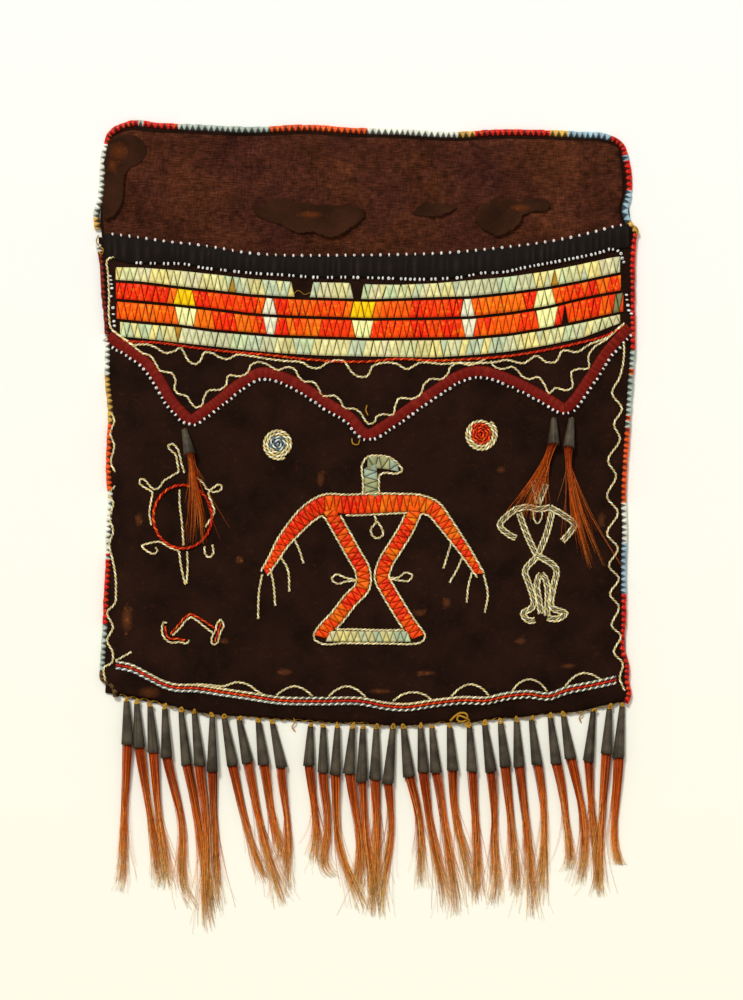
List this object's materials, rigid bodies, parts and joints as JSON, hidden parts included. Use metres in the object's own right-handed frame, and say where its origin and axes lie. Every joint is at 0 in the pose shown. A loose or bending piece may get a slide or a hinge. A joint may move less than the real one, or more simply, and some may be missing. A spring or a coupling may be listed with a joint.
{
  "type": "fringed medicine bag",
  "caption": "Flat black deerskin bag with an open pocket, folded quillwork band, zigzag ribbon, quilled bird and figures, bound edges and a hem fringe of tin cones with hair tassels.",
  "frame": {"origin": "middle of the back panel, on its outer face, which the bag lies on", "axes": "+X to the right across the bag, +Y towards its top edge, +Z out of its decorated face"},
  "size_m": [0.2687, 0.4025, 0.0171],
  "materials": {
    "black_hide": "matt, dyed and worn deerskin",
    "brown_cloth": "plain-woven wool",
    "black_silk": "gathered silk ribbon, faded black",
    "red_silk": "silk ribbon, faded red",
    "orange_quill": "dyed porcupine quill",
    "pale_quill": "undyed porcupine quill",
    "smoked_thong": "smoke-tanned thong",
    "tin_and_hair": "tarnished tin cone, with a tassel of dyed deer hair"
  },
  "bodies": {
    "pouch": {"back_panel": "black_hide", "band_line": "orange_quill", "bird_base": "pale_quill", "bird_head": "pale_quill", "bird_wings_and_body": "orange_quill", "border_lines": "orange_quill", "bow_figure": "orange_quill", "edge_binding_left": "pale_quill", "edge_binding_right": "pale_quill", "edge_binding_top": "orange_quill", "front_panel": "black_hide", "hem_thong": "smoked_thong", "hide_remnant_corner": "black_hide", "hide_remnant_middle": "black_hide", "hide_remnant_right": "black_hide", "lining_cloth": "brown_cloth", "mouth_binding": "black_silk", "quillwork_band": "orange_quill", "ring_figure": "orange_quill", "rosette_left": "pale_quill", "rosette_right": "pale_quill", "side_wave_left": "pale_quill", "side_wave_right": "pale_quill", "standing_figure": "pale_quill", "zigzag_ribbon": "red_silk"},
    "fringe_cone_01": {"fringe_cone_01": "tin_and_hair"},
    "fringe_cone_02": {"fringe_cone_02": "tin_and_hair"},
    "fringe_cone_03": {"fringe_cone_03": "tin_and_hair"},
    "fringe_cone_04": {"fringe_cone_04": "tin_and_hair"},
    "fringe_cone_05": {"fringe_cone_05": "tin_and_hair"},
    "fringe_cone_06": {"fringe_cone_06": "tin_and_hair"},
    "fringe_cone_07": {"fringe_cone_07": "tin_and_hair"},
    "fringe_cone_08": {"fringe_cone_08": "tin_and_hair"},
    "fringe_cone_09": {"fringe_cone_09": "tin_and_hair"},
    "fringe_cone_10": {"fringe_cone_10": "tin_and_hair"},
    "fringe_cone_11": {"fringe_cone_11": "tin_and_hair"},
    "fringe_cone_12": {"fringe_cone_12": "tin_and_hair"},
    "fringe_cone_13": {"fringe_cone_13": "tin_and_hair"},
    "fringe_cone_14": {"fringe_cone_14": "tin_and_hair"},
    "fringe_cone_15": {"fringe_cone_15": "tin_and_hair"},
    "fringe_cone_16": {"fringe_cone_16": "tin_and_hair"},
    "fringe_cone_17": {"fringe_cone_17": "tin_and_hair"},
    "fringe_cone_18": {"fringe_cone_18": "tin_and_hair"},
    "fringe_cone_19": {"fringe_cone_19": "tin_and_hair"},
    "fringe_cone_20": {"fringe_cone_20": "tin_and_hair"},
    "fringe_cone_21": {"fringe_cone_21": "tin_and_hair"},
    "fringe_cone_22": {"fringe_cone_22": "tin_and_hair"},
    "fringe_cone_23": {"fringe_cone_23": "tin_and_hair"},
    "fringe_cone_24": {"fringe_cone_24": "tin_and_hair"},
    "fringe_cone_25": {"fringe_cone_25": "tin_and_hair"},
    "fringe_cone_26": {"fringe_cone_26": "tin_and_hair"},
    "fringe_cone_27": {"fringe_cone_27": "tin_and_hair"},
    "fringe_cone_28": {"fringe_cone_28": "tin_and_hair"},
    "fringe_cone_29": {"fringe_cone_29": "tin_and_hair"},
    "fringe_cone_30": {"fringe_cone_30": "tin_and_hair"},
    "fringe_cone_31": {"fringe_cone_31": "tin_and_hair"},
    "fringe_cone_32": {"fringe_cone_32": "tin_and_hair"},
    "face_cone_1": {"face_cone_1": "tin_and_hair"},
    "face_cone_2": {"face_cone_2": "tin_and_hair"},
    "face_cone_3": {"face_cone_3": "tin_and_hair"}
  },
  "joints": [
    {"name": "fringe_swing_01", "type": "hinge", "parent": "pouch", "child": "fringe_cone_01", "pos_m": [-0.12038, -0.14319, 0.00175], "axis": [-1, 0, 0], "range_deg": [0, 90]},
    {"name": "fringe_swing_02", "type": "hinge", "parent": "pouch", "child": "fringe_cone_02", "pos_m": [-0.1151, -0.14427, 0.00175], "axis": [-1, 0, 0], "range_deg": [0, 90]},
    {"name": "fringe_swing_03", "type": "hinge", "parent": "pouch", "child": "fringe_cone_03", "pos_m": [-0.1085, -0.14556, 0.00175], "axis": [-1, 0, 0], "range_deg": [0, 90]},
    {"name": "fringe_swing_04", "type": "hinge", "parent": "pouch", "child": "fringe_cone_04", "pos_m": [-0.10124, -0.14689, 0.00175], "axis": [-1, 0, 0], "range_deg": [0, 90]},
    {"name": "fringe_swing_05", "type": "hinge", "parent": "pouch", "child": "fringe_cone_05", "pos_m": [-0.09306, -0.14829, 0.00175], "axis": [-1, 0, 0], "range_deg": [0, 90]},
    {"name": "fringe_swing_06", "type": "hinge", "parent": "pouch", "child": "fringe_cone_06", "pos_m": [-0.08646, -0.14934, 0.00175], "axis": [-1, 0, 0], "range_deg": [0, 90]},
    {"name": "fringe_swing_07", "type": "hinge", "parent": "pouch", "child": "fringe_cone_07", "pos_m": [-0.07748, -0.15066, 0.00175], "axis": [-1, 0, 0], "range_deg": [0, 90]},
    {"name": "fringe_swing_08", "type": "hinge", "parent": "pouch", "child": "fringe_cone_08", "pos_m": [-0.07154, -0.15146, 0.00175], "axis": [-1, 0, 0], "range_deg": [0, 90]},
    {"name": "fringe_swing_09", "type": "hinge", "parent": "pouch", "child": "fringe_cone_09", "pos_m": [-0.06402, -0.1524, 0.00175], "axis": [-1, 0, 0], "range_deg": [0, 90]},
    {"name": "fringe_swing_10", "type": "hinge", "parent": "pouch", "child": "fringe_cone_10", "pos_m": [-0.05452, -0.15345, 0.00175], "axis": [-1, 0, 0], "range_deg": [0, 90]},
    {"name": "fringe_swing_11", "type": "hinge", "parent": "pouch", "child": "fringe_cone_11", "pos_m": [-0.04739, -0.15414, 0.00175], "axis": [-1, 0, 0], "range_deg": [0, 90]},
    {"name": "fringe_swing_12", "type": "hinge", "parent": "pouch", "child": "fringe_cone_12", "pos_m": [-0.02838, -0.15558, 0.00175], "axis": [-1, 0, 0], "range_deg": [0, 90]},
    {"name": "fringe_swing_13", "type": "hinge", "parent": "pouch", "child": "fringe_cone_13", "pos_m": [-0.02204, -0.15594, 0.00175], "axis": [-1, 0, 0], "range_deg": [0, 90]},
    {"name": "fringe_swing_14", "type": "hinge", "parent": "pouch", "child": "fringe_cone_14", "pos_m": [-0.01505, -0.15625, 0.00175], "axis": [-1, 0, 0], "range_deg": [0, 90]},
    {"name": "fringe_swing_15", "type": "hinge", "parent": "pouch", "child": "fringe_cone_15", "pos_m": [-0.00752, -0.1565, 0.00175], "axis": [-1, 0, 0], "range_deg": [0, 90]},
    {"name": "fringe_swing_16", "type": "hinge", "parent": "pouch", "child": "fringe_cone_16", "pos_m": [-0.00224, -0.15662, 0.00175], "axis": [-1, 0, 0], "range_deg": [0, 90]},
    {"name": "fringe_swing_17", "type": "hinge", "parent": "pouch", "child": "fringe_cone_17", "pos_m": [0.00436, -0.15671, 0.00175], "axis": [-1, 0, 0], "range_deg": [0, 90]},
    {"name": "fringe_swing_18", "type": "hinge", "parent": "pouch", "child": "fringe_cone_18", "pos_m": [0.01254, -0.15672, 0.00175], "axis": [-1, 0, 0], "range_deg": [0, 90]},
    {"name": "fringe_swing_19", "type": "hinge", "parent": "pouch", "child": "fringe_cone_19", "pos_m": [0.01795, -0.15667, 0.00175], "axis": [-1, 0, 0], "range_deg": [0, 90]},
    {"name": "fringe_swing_20", "type": "hinge", "parent": "pouch", "child": "fringe_cone_20", "pos_m": [0.0264, -0.1565, 0.00175], "axis": [-1, 0, 0], "range_deg": [0, 90]},
    {"name": "fringe_swing_21", "type": "hinge", "parent": "pouch", "child": "fringe_cone_21", "pos_m": [0.03221, -0.15631, 0.00175], "axis": [-1, 0, 0], "range_deg": [0, 90]},
    {"name": "fringe_swing_22", "type": "hinge", "parent": "pouch", "child": "fringe_cone_22", "pos_m": [0.04092, -0.15593, 0.00175], "axis": [-1, 0, 0], "range_deg": [0, 90]},
    {"name": "fringe_swing_23", "type": "hinge", "parent": "pouch", "child": "fringe_cone_23", "pos_m": [0.05095, -0.15535, 0.00175], "axis": [-1, 0, 0], "range_deg": [0, 90]},
    {"name": "fringe_swing_24", "type": "hinge", "parent": "pouch", "child": "fringe_cone_24", "pos_m": [0.05848, -0.1548, 0.00175], "axis": [-1, 0, 0], "range_deg": [0, 90]},
    {"name": "fringe_swing_25", "type": "hinge", "parent": "pouch", "child": "fringe_cone_25", "pos_m": [0.0664, -0.15412, 0.00175], "axis": [-1, 0, 0], "range_deg": [0, 90]},
    {"name": "fringe_swing_26", "type": "hinge", "parent": "pouch", "child": "fringe_cone_26", "pos_m": [0.07445, -0.15333, 0.00175], "axis": [-1, 0, 0], "range_deg": [0, 90]},
    {"name": "fringe_swing_27", "type": "hinge", "parent": "pouch", "child": "fringe_cone_27", "pos_m": [0.08197, -0.1525, 0.00175], "axis": [-1, 0, 0], "range_deg": [0, 90]},
    {"name": "fringe_swing_28", "type": "hinge", "parent": "pouch", "child": "fringe_cone_28", "pos_m": [0.09134, -0.15134, 0.00175], "axis": [-1, 0, 0], "range_deg": [0, 90]},
    {"name": "fringe_swing_29", "type": "hinge", "parent": "pouch", "child": "fringe_cone_29", "pos_m": [0.09794, -0.15044, 0.00175], "axis": [-1, 0, 0], "range_deg": [0, 90]},
    {"name": "fringe_swing_30", "type": "hinge", "parent": "pouch", "child": "fringe_cone_30", "pos_m": [0.11286, -0.14814, 0.00175], "axis": [-1, 0, 0], "range_deg": [0, 90]},
    {"name": "fringe_swing_31", "type": "hinge", "parent": "pouch", "child": "fringe_cone_31", "pos_m": [0.12078, -0.14677, 0.00175], "axis": [-1, 0, 0], "range_deg": [0, 90]},
    {"name": "fringe_swing_32", "type": "hinge", "parent": "pouch", "child": "fringe_cone_32", "pos_m": [0.12725, -0.14558, 0.00175], "axis": [-1, 0, 0], "range_deg": [0, 90]},
    {"name": "face_swing_1", "type": "hinge", "parent": "pouch", "child": "face_cone_1", "pos_m": [-0.09088, -0.00791, 0.01085], "axis": [-1, 0, 0], "range_deg": [0, 90]},
    {"name": "face_swing_2", "type": "hinge", "parent": "pouch", "child": "face_cone_2", "pos_m": [0.09254, -0.00237, 0.01085], "axis": [-1, 0, 0], "range_deg": [0, 90]},
    {"name": "face_swing_3", "type": "hinge", "parent": "pouch", "child": "face_cone_3", "pos_m": [0.10114, -0.00237, 0.01085], "axis": [-1, 0, 0], "range_deg": [0, 90]}
  ]
}
